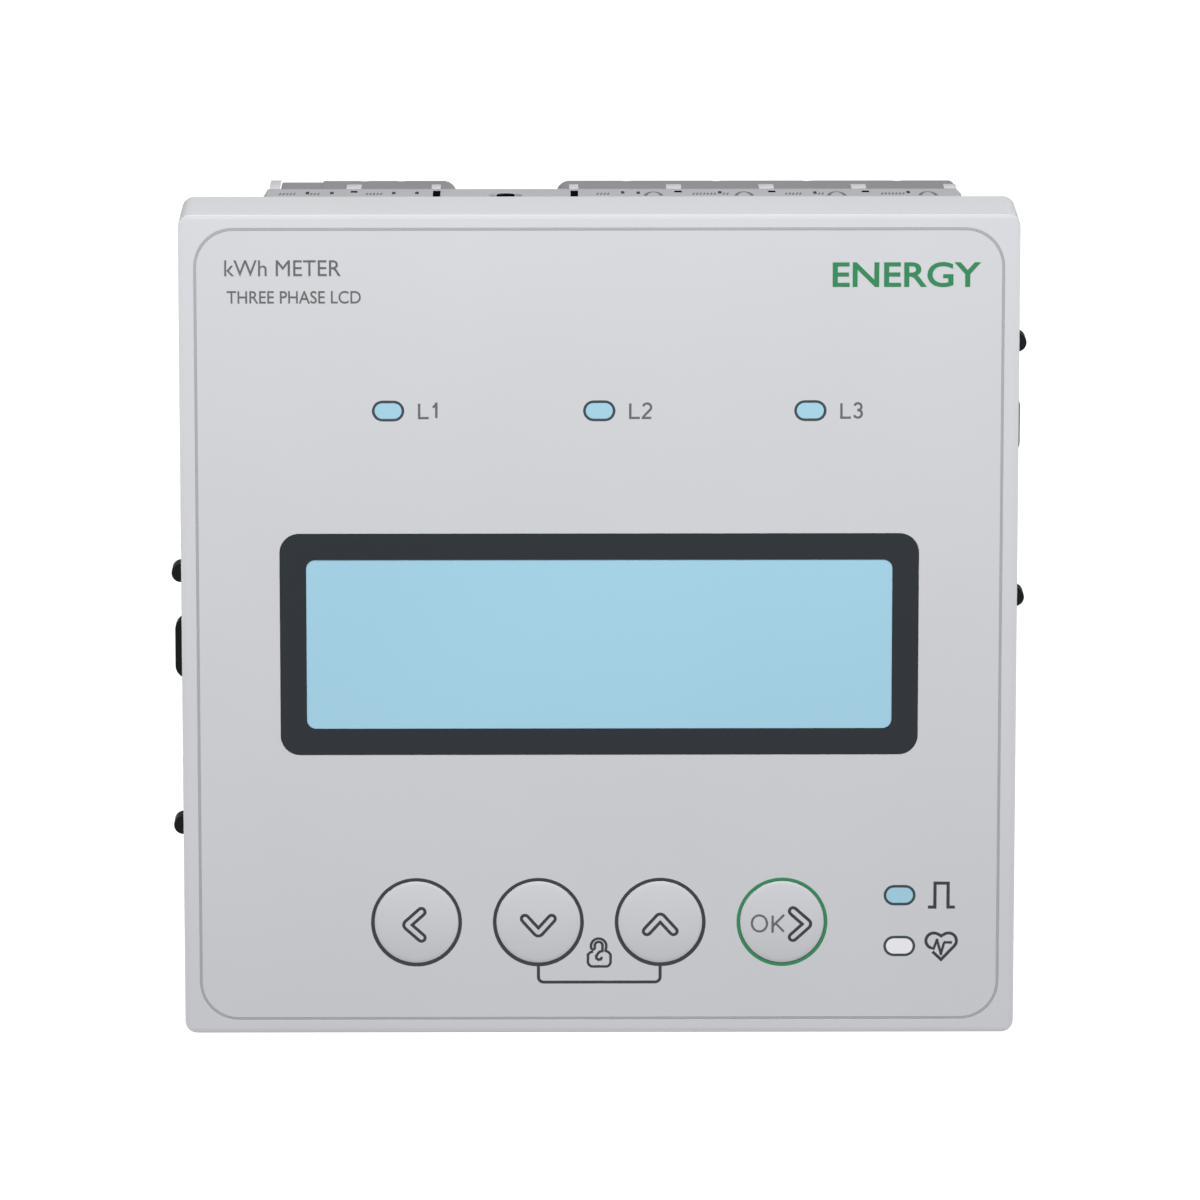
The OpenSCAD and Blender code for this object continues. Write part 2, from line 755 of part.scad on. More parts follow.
// Plug: an inserted part, an outer part, and for each pole a pin slot, a clamp chamber,
// a rectangular wire entry and a round screw well
module plug_shell(span, levels, centres, s) {
    front = terminal_board_y + board_t + 3;
    wire_z = levels[2] + 2.3 * s;
    screw_z = levels[2] + (levels[3] - levels[2]) * 0.78;
    difference() {
        union() {
            block(span[0] + 0.7, span[1] - 0.9, front, plug_gap_y + 0.1, levels[2], levels[3]);
            translate([(span[0] + span[1]) / 2, 0, (levels[0] + levels[1]) / 2])
                slab(plug_gap_y, plug_back_y)
                    rounded(span[1] - span[0], levels[1] - levels[0], 0.5);
        }
        for (x = centres) {
            block(x - 1, x + 1, front - 1, plug_gap_y - 6, wire_z - 1, wire_z + 1);
            block(x - 2.7 * s, x + 2.7 * s, plug_gap_y - 7, plug_gap_y + 1,
                levels[2] + 0.8 * s, levels[3] - 0.4);
            block(x - 1.8 * s, x + 1.8 * s, plug_gap_y, 60, wire_z - 1.8 * s, wire_z + 1.8 * s);
            bar(x, screw_z, 1.95 * s, plug_gap_y, 60);
        }
    }
}

// Cuts the round shoulder at one upper end of a plug; side is 1 for the right end
module shoulder_cut(x, side, r) {
    difference() {
        block(min(x + side, x - side * r), max(x + side, x - side * r), plug_gap_y + 0.1,
            plug_back_y + 1, deck_z - r, deck_z + 1);
        bar(x - side * r, deck_z - r, r, plug_gap_y - 1, plug_back_y + 2);
    }
}

module tongue_notches() {
    for (t = tongues) block(t[0] - t[1] / 2 - 0.15, t[0] + t[1] / 2 + 0.15, plug_gap_y - 1,
        body_back + 2.9, deck_z - 1.6, deck_z + 1);
}

// Shallow grooves along the top over the middle of each pole
module pole_grooves(middles) {
    for (x = middles) bar(x, deck_z + 3.95, 4, plug_gap_y - 1, plug_back_y + 1);
}

module power_plug() {
    color([0.57, 0.57, 0.59]) difference() {
        plug_shell(power_plug_span, large_levels, power_x, 1);
        shoulder_cut(power_plug_span[1], 1, 1.6);
        tongue_notches();
        pole_grooves([-27.8, -23.4]);
        block(-39, -32.7, plug_gap_y - 1, 60, deck_z - 0.18, deck_z + 1);
    }
}

module voltage_plug() {
    color([0.57, 0.57, 0.59]) difference() {
        union() {
            plug_shell(voltage_plug_span, large_levels, voltage_x, 1);
            block(voltage_plug_span[1] - 0.6, voltage_plug_end, plug_gap_y, plug_back_y,
                large_levels[0] + 0.5, deck_z);
        }
        shoulder_cut(voltage_plug_span[0], -1, 1.6);
        shoulder_cut(voltage_plug_end, 1, 0.8);
        tongue_notches();
        pole_grooves([3.6, 14.3, 25.2, 36]);
    }
}

module comm_plug() {
    color([0.2, 0.45, 0.3]) plug_shell(comm_plug_span, comm_levels, comm_x, 0.7);
}

// Clamp: a wire cage with its screw
module clamps(centres, levels, s) {
    wire_z = levels[2] + 2.3 * s;
    screw_z = levels[2] + (levels[3] - levels[2]) * 0.78;
    y0 = plug_gap_y - 5.5;
    color([0.72, 0.73, 0.75]) for (x = centres) {
        difference() {
            block(x - 2.5 * s, x + 2.5 * s, y0, plug_gap_y + 0.5, levels[2] + s, levels[3] - 0.6);
            block(x - 1.8 * s, x + 1.8 * s, y0 - 1, plug_gap_y + 1, wire_z - 1.2 * s,
                wire_z + 1.8 * s);
            bar(x, screw_z, 1.3 * s, y0 - 1, plug_gap_y + 1);
        }
        bar(x, screw_z, 1.2 * s, y0 + 0.5, plug_gap_y + 2);
        difference() {
            bar(x, screw_z, 1.8 * s, plug_gap_y + 1.2, plug_gap_y + 3.4);
            block(x - 2 * s, x + 2 * s, plug_gap_y + 2.6, 60, screw_z - 0.3, screw_z + 0.3);
        }
    }
}

module power_plug_clamps() {
    clamps(power_x, large_levels, 1);
}

module voltage_plug_clamps() {
    clamps(voltage_x, large_levels, 1);
}

module comm_plug_clamps() {
    clamps(comm_x, comm_levels, 0.7);
}

// Current terminals: a base with barriers, ears for the cover's hinge, and tapped wells
module current_terminal_block() {
    ear_r = 1.7;
    color([0.2, 0.2, 0.22]) difference() {
        union() {
            block(-block_half_w, block_half_w, body_back, block_base_y, block_bottom, block_top);
            for (i = [-3:1:3]) block(i * current_pitch - 0.8, i * current_pitch + 0.8,
                block_base_y - 0.1, barrier_y, block_bottom, block_top);
            for (x = [-33, 0, 33]) {
                translate([x - 3, hinge_y, hinge_z]) rotate([0, 90, 0]) cylinder(r = ear_r, h = 6);
                block(x - 3, x + 3, body_back, hinge_y, hinge_z - 2.6, hinge_z + 1.2);
            }
        }
        translate([-50, hinge_y, hinge_z]) rotate([0, 90, 0])
            cylinder(r = hinge_pin_r + 0.02, h = 100);
        for (x = current_x) {
            bar(x, current_z, 2, body_back + 0.5, 60);
            block(x - 2.2, x + 2.2, body_back - 1, block_base_y + 1, current_z + 2.1, current_z + 3.9);
        }
    }
}

// Terminal screws, each with a square washer and a cross slot
module current_terminal_screws() {
    top = block_base_y + 1.2;
    color([0.8, 0.8, 0.82]) for (x = current_x) {
        difference() {
            block(x - 4, x + 4, top, top + 1, current_z - 4, current_z + 4);
            bar(x, current_z, 2.1, 30, 60);
        }
        bar(x, current_z, 1.9, body_back + 0.8, top + 1.2);
        difference() {
            bar(x, current_z, 3.7, top + 1.05, top + 3.2);
            block(x - 2.6, x + 2.6, top + 2, 60, current_z - 0.5, current_z + 0.5);
            block(x - 0.5, x + 0.5, top + 2, 60, current_z - 2.6, current_z + 2.6);
        }
    }
}

module terminal_cover() {
    plate_y = 42.1;
    color([0.75, 0.76, 0.78]) {
        difference() {
            union() {
                block(-block_half_w, block_half_w, plate_y, plate_y + 1.4, -43.4, hinge_z);
                for (x = [-18, 0, 18]) block(x - 14, x + 14, plate_y + 1.3, plate_y + 1.8,
                    -42, -40.8);
            }
            for (x = current_x) bar(x, current_z, 2.6, 30, 60);
        }
        for (s = [-1, 1]) difference() {
            union() {
                translate([s * 16.5 - 13, hinge_y, hinge_z]) rotate([0, 90, 0])
                    cylinder(r = 1.9, h = 26);
                block(s * 16.5 - 13, s * 16.5 + 13, hinge_y, plate_y + 1.4, hinge_z - 1.9, hinge_z);
            }
            translate([-50, hinge_y, hinge_z]) rotate([0, 90, 0])
                cylinder(r = hinge_pin_r + 0.06, h = 100);
        }
    }
}

module hinge_pin() {
    color([0.8, 0.8, 0.82]) {
        translate([-36.6, hinge_y, hinge_z]) rotate([0, 90, 0]) cylinder(r = hinge_pin_r, h = 73.2);
        translate([36.1, hinge_y, hinge_z]) rotate([0, 90, 0]) cylinder(r = 1.5, h = 0.9);
    }
}

front_bezel();
front_overlay();
window_frame();
display_lens();
display_glass();
light_guide();
display_holder();
display_pins();
left_key();
down_key();
up_key();
ok_key();
left_plunger();
down_plunger();
up_plunger();
ok_plunger();
key_switches();
snap_domes();
phase_light_pipes();
pulse_light_pipe();
heartbeat_light_pipe();
indicator_chips();
display_board();
board_header();
board_standoffs();
board_screws();
main_board();
main_chips();
transformer_core();
transformer_bobbin();
supply_capacitors();
line_fuse();
surge_varistor();
backup_battery();
riser_header();
current_transformers();
current_bars();
terminal_board();
rear_housing();
rear_cover();
rear_cover_screws();
rating_label();
panel_gasket();
left_retainer();
right_retainer();
power_header();
voltage_header();
comm_header();
header_pins();
power_plug();
voltage_plug();
comm_plug();
power_plug_clamps();
voltage_plug_clamps();
comm_plug_clamps();
current_terminal_block();
current_terminal_screws();
terminal_cover();
hinge_pin();
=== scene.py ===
import json
import math

import bmesh
import bpy
from mathutils import Matrix, Vector


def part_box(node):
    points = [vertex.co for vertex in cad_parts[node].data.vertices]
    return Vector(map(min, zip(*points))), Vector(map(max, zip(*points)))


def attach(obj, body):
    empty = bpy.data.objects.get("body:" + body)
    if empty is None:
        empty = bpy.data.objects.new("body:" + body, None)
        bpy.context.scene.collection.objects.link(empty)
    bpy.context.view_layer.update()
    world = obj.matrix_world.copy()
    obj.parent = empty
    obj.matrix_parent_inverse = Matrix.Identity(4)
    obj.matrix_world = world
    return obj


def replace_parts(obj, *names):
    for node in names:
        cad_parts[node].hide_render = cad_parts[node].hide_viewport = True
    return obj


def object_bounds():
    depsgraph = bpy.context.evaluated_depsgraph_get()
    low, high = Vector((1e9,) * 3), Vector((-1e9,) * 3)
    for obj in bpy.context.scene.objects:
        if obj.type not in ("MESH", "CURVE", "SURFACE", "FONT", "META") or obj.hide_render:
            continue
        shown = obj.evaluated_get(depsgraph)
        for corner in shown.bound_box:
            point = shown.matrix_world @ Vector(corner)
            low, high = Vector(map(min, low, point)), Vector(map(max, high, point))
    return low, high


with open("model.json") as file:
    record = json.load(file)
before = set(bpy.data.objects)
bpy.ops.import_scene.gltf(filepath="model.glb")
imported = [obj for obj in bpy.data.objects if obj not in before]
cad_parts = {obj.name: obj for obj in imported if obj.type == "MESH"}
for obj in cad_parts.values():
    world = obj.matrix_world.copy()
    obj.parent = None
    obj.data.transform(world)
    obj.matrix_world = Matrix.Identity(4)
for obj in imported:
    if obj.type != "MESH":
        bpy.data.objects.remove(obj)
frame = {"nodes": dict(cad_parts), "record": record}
cad_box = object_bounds()

MM = 0.001
MERGE = 0.0005 * MM
ROOT = "meter"


# ---- Measures taken from the frame ----

def middle(node):
    low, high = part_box(node)
    return (low + high) / 2


FACE_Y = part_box("front_overlay")[0].y
DECK_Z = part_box("voltage_plug")[1].z
BODY_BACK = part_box("rear_cover")[1].y
KEYS = {name: middle(name + "_key") for name in ("left", "down", "up", "ok")}
LAMP_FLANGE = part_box("pulse_light_pipe")[1].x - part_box("pulse_light_pipe")[0].x
PHASE_Z = middle("phase_light_pipes").z
PHASE_X = [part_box("phase_light_pipes")[0].x + LAMP_FLANGE / 2, 0.0,
           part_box("phase_light_pipes")[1].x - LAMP_FLANGE / 2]
PULSE = middle("pulse_light_pipe")
HEARTBEAT = middle("heartbeat_light_pipe")


# ---- Materials ----

def shader(name):
    material = bpy.data.materials.new(name)
    material.use_nodes = True
    nodes = material.node_tree.nodes
    return material, nodes, material.node_tree.links, nodes["Principled BSDF"]


def grain(nodes, links, scale, detail=3.0, stretch=(1, 1, 1)):
    """Noise on object coordinates; scale is in waves a metre."""
    place = nodes.new("ShaderNodeTexCoord")
    turn = nodes.new("ShaderNodeMapping")
    turn.inputs["Scale"].default_value = stretch
    noise = nodes.new("ShaderNodeTexNoise")
    noise.inputs["Scale"].default_value = scale
    noise.inputs["Detail"].default_value = detail
    links.new(place.outputs["Object"], turn.inputs["Vector"])
    links.new(turn.outputs["Vector"], noise.inputs["Vector"])
    return noise.outputs["Fac"]


def ramp(nodes, links, source, low, high, near=0.35, far=0.65):
    blend = nodes.new("ShaderNodeValToRGB")
    blend.color_ramp.elements[0].position = near
    blend.color_ramp.elements[1].position = far
    blend.color_ramp.elements[0].color = (*low, 1)
    blend.color_ramp.elements[1].color = (*high, 1)
    links.new(source, blend.inputs["Fac"])
    return blend.outputs["Color"]


def spread(nodes, links, source, low, high):
    span = nodes.new("ShaderNodeMapRange")
    span.inputs["From Min"].default_value = 0.3
    span.inputs["From Max"].default_value = 0.7
    span.inputs["To Min"].default_value = low
    span.inputs["To Max"].default_value = high
    links.new(source, span.inputs["Value"])
    return span.outputs["Result"]


def bumped(nodes, links, source, depth, bsdf, below=None):
    bump = nodes.new("ShaderNodeBump")
    bump.inputs["Strength"].default_value = 1.0
    bump.inputs["Distance"].default_value = depth
    links.new(source, bump.inputs["Height"])
    if below is not None:
        links.new(below, bump.inputs["Normal"])
    links.new(bump.outputs["Normal"], bsdf.inputs["Normal"])
    return bump.outputs["Normal"]


def shade(colour, by):
    return tuple(min(1.0, c * by) for c in colour)


def moulded(name, colour, rough=0.5, pit=0.25, depth=0.006, vary=0.03, specular=0.4, coat=0.0):
    """Moulded plastic: a fine spark-eroded grain, faint flow clouds and an uneven sheen."""
    material, nodes, links, bsdf = shader(name)
    clouds = grain(nodes, links, 45, 4)
    fine = grain(nodes, links, 1 / (pit * MM), 2)
    links.new(ramp(nodes, links, clouds, shade(colour, 1 - vary), shade(colour, 1 + vary)),
              bsdf.inputs["Base Color"])
    links.new(spread(nodes, links, fine, rough - 0.05, rough + 0.05), bsdf.inputs["Roughness"])
    bumped(nodes, links, fine, depth * MM, bsdf)
    bsdf.inputs["Specular IOR Level"].default_value = specular
    bsdf.inputs["Coat Weight"].default_value = coat
    bsdf.inputs["Coat Roughness"].default_value = 0.15
    return material


def metal(name, colour, rough=0.3, lines=(1, 1, 1)):
    """Plated or machined metal with fine tool lines and a cloudy finish."""
    material, nodes, links, bsdf = shader(name)
    clouds = grain(nodes, links, 220, 4)
    fine = grain(nodes, links, 2200, 3, lines)
    links.new(ramp(nodes, links, clouds, shade(colour, 0.92), shade(colour, 1.08)),
              bsdf.inputs["Base Color"])
    links.new(spread(nodes, links, fine, rough - 0.08, rough + 0.1), bsdf.inputs["Roughness"])
    bumped(nodes, links, fine, 0.004 * MM, bsdf)
    bsdf.inputs["Metallic"].default_value = 1.0
    return material


def circuit_board(name):
    """Green solder mask over copper tracks: tracks show as lighter bands between raised fields."""
    material, nodes, links, bsdf = shader(name)
    place = nodes.new("ShaderNodeTexCoord")
    cells = nodes.new("ShaderNodeTexVoronoi")
    cells.distance = "CHEBYCHEV"
    cells.feature = "DISTANCE_TO_EDGE"
    cells.inputs["Scale"].default_value = 260
    links.new(place.outputs["Object"], cells.inputs["Vector"])
    colour = ramp(nodes, links, cells.outputs["Distance"], (0.02, 0.20, 0.07), (0.006, 0.085, 0.03),
                  0.04, 0.07)
    links.new(colour, bsdf.inputs["Base Color"])
    bumped(nodes, links, cells.outputs["Distance"], 0.02 * MM, bsdf)
    bsdf.inputs["Roughness"].default_value = 0.32
    return material


def window_blue(name, colour, glow):
    """Backlit window: an even, very faintly clouded colour under a smooth face."""
    material, nodes, links, bsdf = shader(name)
    clouds = grain(nodes, links, 25, 1)
    tint = ramp(nodes, links, clouds, shade(colour, 0.985), shade(colour, 1.015))
    fine = grain(nodes, links, 5000, 1)
    links.new(tint, bsdf.inputs["Base Color"])
    links.new(tint, bsdf.inputs["Emission Color"])
    links.new(spread(nodes, links, fine, 0.3, 0.36), bsdf.inputs["Roughness"])
    bumped(nodes, links, fine, 0.001 * MM, bsdf)
    bsdf.inputs["Emission Strength"].default_value = glow
    bsdf.inputs["Specular IOR Level"].default_value = 0.25
    return material


def printed(name, colour, rough=0.45, specular=0.5):
    """Screen-printed ink: a slightly uneven film."""
    material, nodes, links, bsdf = shader(name)
    bsdf.inputs["Specular IOR Level"].default_value = specular
    fine = grain(nodes, links, 6000, 2)
    links.new(ramp(nodes, links, fine, shade(colour, 0.93), shade(colour, 1.07)),
              bsdf.inputs["Base Color"])
    links.new(spread(nodes, links, fine, rough - 0.05, rough + 0.08), bsdf.inputs["Roughness"])
    bumped(nodes, links, fine, 0.002 * MM, bsdf)
    return material


LOOKS = {
    "bezel": moulded("light_grey_plastic", (0.608, 0.617, 0.646), 0.5, 0.3, 0.005, 0.01,
                     0.25),
    "overlay": moulded("overlay_film", (0.590, 0.598, 0.626), 0.42, 0.12, 0.0025, 0.008),
    "key": moulded("key_plastic", (0.590, 0.598, 0.628), 0.38, 0.12, 0.0025, 0.008),
    "housing": moulded("housing_grey", (0.455, 0.457, 0.470), 0.55, 0.35, 0.012, 0.025),
    "cover": moulded("cover_grey", (0.47, 0.475, 0.50), 0.4, 0.3, 0.006, 0.02, coat=0.2),
    "frame_black": moulded("window_black", (0.014, 0.019, 0.025), 0.34, 0.1, 0.002, 0.03, 0.25),
    "retainer": moulded("retainer_black", (0.006, 0.006, 0.008), 0.5, 0.3, 0.008, 0.1, 0.2),
    "header": moulded("header_black", (0.028, 0.028, 0.032), 0.5, 0.3, 0.01, 0.08),
    "switch": moulded("switch_black", (0.03, 0.03, 0.033), 0.5, 0.2, 0.005, 0.08),
    "plug": moulded("plug_grey", (0.268, 0.263, 0.286), 0.5, 0.3, 0.01, 0.04),
    "comm_plug": moulded("plug_green", (0.02, 0.19, 0.065), 0.45, 0.3, 0.01, 0.05),
    "rubber": moulded("gasket_rubber", (0.02, 0.02, 0.02), 0.8, 0.4, 0.03, 0.15, 0.2),
    "diffuser": moulded("diffuser_white", (0.85, 0.87, 0.9), 0.5, 0.3, 0.004),
    "label": moulded("label_white", (0.80, 0.80, 0.81), 0.45, 0.2, 0.002, 0.012),
    "ceramic": moulded("fuse_body", (0.7, 0.66, 0.5), 0.3, 0.4, 0.004, 0.05),
    "varistor": moulded("varistor_blue", (0.02, 0.1, 0.38), 0.3, 0.6, 0.02, 0.08),
    "sleeve": moulded("capacitor_sleeve", (0.03, 0.05, 0.13), 0.28, 0.5, 0.003, 0.06),
    "bobbin": moulded("bobbin_yellow", (0.7, 0.42, 0.08), 0.5, 0.4, 0.01, 0.08),
    "core": metal("iron_core", (0.09, 0.085, 0.08), 0.5, (1, 1, 8)),
    "tin": metal("tinned_metal", (0.66, 0.66, 0.67), 0.3),
    "zinc": metal("zinc_steel", (0.62, 0.63, 0.65), 0.32, (1, 4, 1)),
    "brass": metal("brass", (0.71, 0.53, 0.24), 0.28, (1, 4, 1)),
    "copper": metal("copper", (0.75, 0.40, 0.24), 0.33, (1, 3, 1)),
    "battery": metal("battery_steel", (0.72, 0.72, 0.73), 0.18),
    "board": circuit_board("board_green"),
    "display": window_blue("display_blue", (0.318, 0.548, 0.678), 0.12),
    "cell": window_blue("display_cell", (0.3, 0.45, 0.5), 0.0),
    "lamp_blue": window_blue("lamp_blue", (0.315, 0.53, 0.645), 0.15),
    "lamp_pulse": window_blue("lamp_pulse", (0.31, 0.53, 0.65), 0.12),
    "lamp_white": window_blue("lamp_white", (0.72, 0.71, 0.75), 0.15),
    "chip": window_blue("chip_amber", (0.8, 0.75, 0.5), 0.0),
    "ink_dark": printed("ink_dark", (0.028, 0.030, 0.036), 0.5, 0.35),
    "ink_grey": printed("ink_grey", (0.11, 0.11, 0.115)),
    "ink_lamp": printed("ink_lamp", (0.032, 0.048, 0.062), 0.5, 0.35),
    "ink_green": printed("ink_green", (0.010, 0.20, 0.070)),
    # Grey for the seam round the overlay: painted shade of the gap.
    "seam_shade_grey": printed("seam_shade_grey", (0.36, 0.37, 0.39)),
    "ink_deck": printed("ink_deck", (0.17, 0.17, 0.18), 0.7, 0.1),
    # Flat near-black without sheen, for painted shade in the deck's slots and hollow.
    "hollow_shade": moulded("painted_shade_black", (0.004, 0.004, 0.005), 0.9, 0.3, 0.004, 0.1, 0.0),
    "ink_pale": printed("ink_pale", (0.70, 0.70, 0.71)),
}

NODE_LOOKS = {
    "bezel": ["front_bezel"],
    "overlay": ["front_overlay"],
    "key": ["left_key", "down_key", "up_key", "ok_key"],
    "housing": ["rear_housing", "rear_cover"],
    "cover": ["terminal_cover"],
    "frame_black": ["window_frame"],
    "retainer": ["left_retainer", "right_retainer"],
    "header": ["power_header", "voltage_header", "comm_header", "current_terminal_block"],
    "switch": ["key_switches", "left_plunger", "down_plunger", "up_plunger", "ok_plunger",
               "board_header", "riser_header", "main_chips"],
    "plug": ["power_plug", "voltage_plug"],
    "comm_plug": ["comm_plug"],
    "rubber": ["panel_gasket"],
    "diffuser": ["light_guide", "display_holder"],
    "label": ["rating_label"],
    "ceramic": ["line_fuse"],
    "varistor": ["surge_varistor"],
    "sleeve": ["supply_capacitors", "current_transformers"],
    "bobbin": ["transformer_bobbin"],
    "core": ["transformer_core"],
    "tin": ["display_pins", "snap_domes"],
    "zinc": ["board_screws", "rear_cover_screws", "power_plug_clamps", "voltage_plug_clamps",
             "comm_plug_clamps", "current_terminal_screws", "hinge_pin"],
    "brass": ["board_standoffs", "header_pins"],
    "copper": ["current_bars"],
    "battery": ["backup_battery"],
    "board": ["display_board", "main_board", "terminal_board"],
    "display": ["display_lens"],
    "cell": ["display_glass"],
    "lamp_blue": ["phase_light_pipes"],
    "lamp_pulse": ["pulse_light_pipe"],
    "lamp_white": ["heartbeat_light_pipe"],
    "chip": ["indicator_chips"],
}


def paint(obj, look):
    obj.data.materials.clear()
    obj.data.materials.append(LOOKS[look])


LOOK_OF = {node: look for look, nodes in NODE_LOOKS.items() for node in nodes}
SLOT_OF = {part["node"]: part["material_slot"] for part in frame["record"]["subparts"]}
BODY_OF = {node: body for body, nodes in frame["record"]["behaviour"]["bodies"].items()
           for node in nodes}
for node, obj in frame["nodes"].items():
    paint(obj, LOOK_OF[node])


# ---- Making pieces ----

def add_piece(name, bm, look, body=ROOT, slot=None, smooth_angle=35):
    mesh = bpy.data.meshes.new(name)
    bm.to_mesh(mesh)
    bm.free()
    obj = bpy.data.objects.new(name, mesh)
    bpy.context.collection.objects.link(obj)
    mesh.shade_smooth()
    mesh.set_sharp_from_angle(angle=math.radians(smooth_angle))
    paint(obj, look)
    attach(obj, body)
    return obj


# The front bezel's rounds: along its front edge, and at the corners of its outline.
BEZEL_EDGE_R, BEZEL_CORNER_R = 0.9 * MM, 1.4 * MM
RIM_SHARE = 0.1


def tight_rim(bm):
    """Draws the bezel's front edge out towards a sharp one, to a tenth of its radius."""
    low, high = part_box("front_bezel")
    reach = BEZEL_EDGE_R * 1.01
    for v in bm.verts:
        past_x = abs(v.co.x) - high.x + BEZEL_CORNER_R
        past_z = abs(v.co.z) - high.z + BEZEL_CORNER_R
        if past_x > 0 and past_z > 0:
            outward = Vector((past_x, 0, past_z))
        elif past_x > past_z:
            outward = Vector((past_x, 0, 0))
        else:
            outward = Vector((0, 0, past_z))
        inset, depth = BEZEL_CORNER_R - outward.length, v.co.y - low.y
        if max(past_x, past_z) > 0 and inset < reach and depth < reach:
            step = outward.normalized() * inset * (1 - RIM_SHARE)
            v.co += Vector((math.copysign(step.x, v.co.x), -depth * (1 - RIM_SHARE),
                            math.copysign(step.z, v.co.z)))


def softened(node, width, shaped=None):
    """A copy of a CAD node with its edges broken, as a moulding tool or a tumbler leaves them."""
    bm = bmesh.new()
    bm.from_mesh(frame["nodes"][node].data)
    bmesh.ops.remove_doubles(bm, verts=bm.verts, dist=MERGE)
    if shaped:
        shaped(bm)
    bmesh.ops.dissolve_limit(bm, angle_limit=math.radians(0.5), verts=bm.verts, edges=bm.edges)
    piece = add_piece(node + "_finished", bm, LOOK_OF[node], BODY_OF[node], SLOT_OF[node], 40)
    bevel = piece.modifiers.new("broken_edges", "BEVEL")
    bevel.width = width * MM
    bevel.segments = 2
    bevel.limit_method = "ANGLE"
    bevel.angle_limit = math.radians(40)
    piece.modifiers.new("flat_faces", "WEIGHTED_NORMAL").keep_sharp = True
    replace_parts(piece, node)


def stroke_mesh(points, width, closed, bm):
    """A line of ink along points given as (u, v), with a round section, in the plane y = 0."""
    curve = bpy.data.curves.new("line", "CURVE")
    curve.dimensions = "3D"
    curve.bevel_depth = width / 2
    curve.bevel_resolution = 2
    curve.use_fill_caps = True
    spline = curve.splines.new("POLY")
    spline.points.add(len(points) - 1)
    for point, (u, v) in zip(spline.points, points):
        point.co = (u, 0, v, 1)
    spline.use_cyclic_u = closed
    obj = bpy.data.objects.new("line", curve)
    mesh = bpy.data.meshes.new_from_object(obj)
    bm.from_mesh(mesh)
    bpy.data.objects.remove(obj)
    bpy.data.meshes.remove(mesh)


INK = 0.06 * MM          # thickness of printed ink
CAP_R = 4.87 * MM        # radius of a key's cap
RUN_OVERLAP = 0.42       # how far pen runs overlap at a sharp corner, in line widths
CAPITAL_SHARE = 0.729    # height of the type's capitals as a share of its size


# Each printed surface turns a place on a flat drawing, u to the right, v up and n off the
# surface, into a place on the object.

def on_front(u, v, n):
    return u, FACE_Y - n, v


def on_deck(u, v, n):
    return u, v, DECK_Z + n


def on_back(plane):
    return lambda u, v, n: (-u, plane + n, v)


def on_key(name):
    """The gently domed cap of a key."""
    centre, rise = KEYS[name], FACE_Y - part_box(name + "_key")[0].y

    def place(u, v, n):
        share = ((u - centre.x) ** 2 + (v - centre.z) ** 2) / CAP_R ** 2
        return u, FACE_Y - rise * max(0.0, 1 - share) - n, v
    return place


def dense(points, closed, step=0.4 * MM):
    """The same path with no stretch longer than step, so that it can follow a domed surface."""
    ends = points[1:] + points[:1] if closed else points[1:]
    path = []
    for (u0, v0), (u1, v1) in zip(points, ends):
        count = max(1, math.ceil(math.hypot(u1 - u0, v1 - v0) / step))
        path += [(u0 + (u1 - u0) * i / count, v0 + (v1 - v0) * i / count) for i in range(count)]
    return path if closed else path + [points[-1]]


def bend(before, at, after):
    """How far a path turns at a point, in degrees."""
    a = Vector((at[0] - before[0], at[1] - before[1]))
    b = Vector((after[0] - at[0], after[1] - at[1]))
    return math.degrees(a.angle(b)) if a.length and b.length else 0.0


def beyond(inner, end, reach):
    """The end of a run, moved on by reach."""
    step = Vector((end[0] - inner[0], end[1] - inner[1])).normalized() * reach
    return end[0] + step.x, end[1] + step.y


def runs(points, width, closed):
    """A path cut at its sharp corners into smooth runs, which overlap there."""
    count = len(points)
    inside = range(count) if closed else range(1, count - 1)
    sharp = [i for i in inside if bend(points[i - 1], points[i], points[(i + 1) % count]) > 35]
    if not sharp:
        return [(points, closed)]
    if closed:
        points = points[sharp[0]:] + points[:sharp[0] + 1]
        sharp = [i - sharp[0] for i in sharp[1:]]
    cuts = [0] + sharp + [len(points) - 1]
    pieces = []
    for first, last in zip(cuts, cuts[1:]):
        run = points[first:last + 1]
        if first or closed:
            run[0] = beyond(run[1], run[0], width * RUN_OVERLAP)
        if last < len(points) - 1 or closed:
            run[-1] = beyond(run[-2], run[-1], width * RUN_OVERLAP)
        pieces.append((run, False))
    return pieces


def ink(name, strokes, look, place=on_front, body=ROOT, slot="overlay_film"):
    """Ink lines on a surface; strokes is a list of (points, width, closed), in metres."""
    bm = bmesh.new()
    pieces = [(run, width, loop) for points, width, closed in strokes
              for run, loop in runs(points, width, closed)]
    for path, width, closed in pieces:
        part = bmesh.new()
        stroke_mesh(dense(path, closed), width, closed, part)
        for v in part.verts:
            v.co = place(v.co.x, v.co.z, -v.co.y * INK / width)
        mesh = bpy.data.meshes.new("line")
        part.to_mesh(mesh)
        part.free()
        bm.from_mesh(mesh)
        bpy.data.meshes.remove(mesh)
    bmesh.ops.recalc_face_normals(bm, faces=bm.faces)
    return add_piece(name, bm, look, body, slot)


def arc(cx, cz, r, start, end, steps=12):
    """Points round a centre, from one angle to another in degrees."""
    angles = [math.radians(start + (end - start) * i / steps) for i in range(steps + 1)]
    return [(cx + r * math.cos(a), cz + r * math.sin(a)) for a in angles]


def ring(cx, cz, r, steps=96):
    return arc(cx, cz, r, 0, 360 * (steps - 1) / steps, steps - 1)


def pill_line(cx, cz, w, h):
    side = (w - h) / 2
    return arc(cx + side, cz, h / 2, -90, 90) + arc(cx - side, cz, h / 2, 90, 270)


